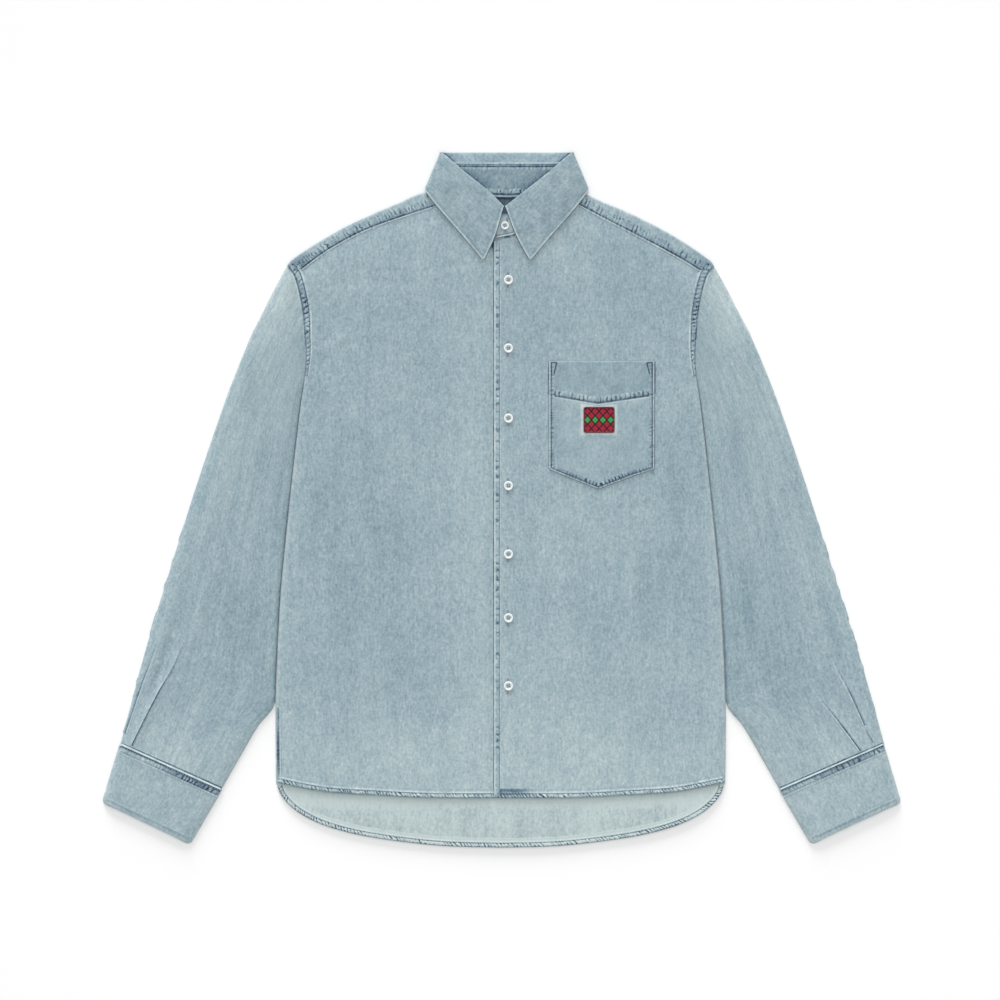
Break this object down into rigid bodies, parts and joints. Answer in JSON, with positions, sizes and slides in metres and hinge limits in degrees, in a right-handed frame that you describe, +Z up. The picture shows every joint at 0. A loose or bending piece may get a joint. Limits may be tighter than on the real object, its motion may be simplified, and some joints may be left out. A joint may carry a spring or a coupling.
{
  "type": "denim shirt",
  "caption": "Long-sleeved light denim shirt laid flat on its back and buttoned to the neck, with a pointed collar, chest pocket, pleated cuffs and a longer curved back hem.",
  "frame": {"origin": "middle of the shirt's footprint on the surface it lies on", "axes": "+Y towards the collar, +X towards the wearer's left sleeve, +Z up, out of the shirt's front"},
  "size_m": [0.9598, 0.8343, 0.0134],
  "materials": {
    "denim": "light washed denim, slub twill weave, indigo left dark in the seams",
    "denim_collar": "light washed denim, fused and pressed, a shade darker",
    "denim_pocket": "light washed denim with puckered double-stitched edges",
    "woven_patch": "dense woven thread in dark red with green",
    "button_plastic": "white pearly four-hole buttons"
  },
  "bodies": {
    "root": {"back": "denim", "yoke": "denim", "front_right": "denim", "front_left": "denim", "sleeve_right": "denim", "sleeve_left": "denim", "cuff_right": "denim", "cuff_left": "denim", "collar_stand": "denim_collar", "collar_fall": "denim_collar", "pocket": "denim_pocket", "patch": "woven_patch", "button_1": "button_plastic", "button_2": "button_plastic", "button_3": "button_plastic", "button_4": "button_plastic", "button_5": "button_plastic", "button_6": "button_plastic", "button_7": "button_plastic", "button_collar": "button_plastic"}
  },
  "joints": []
}
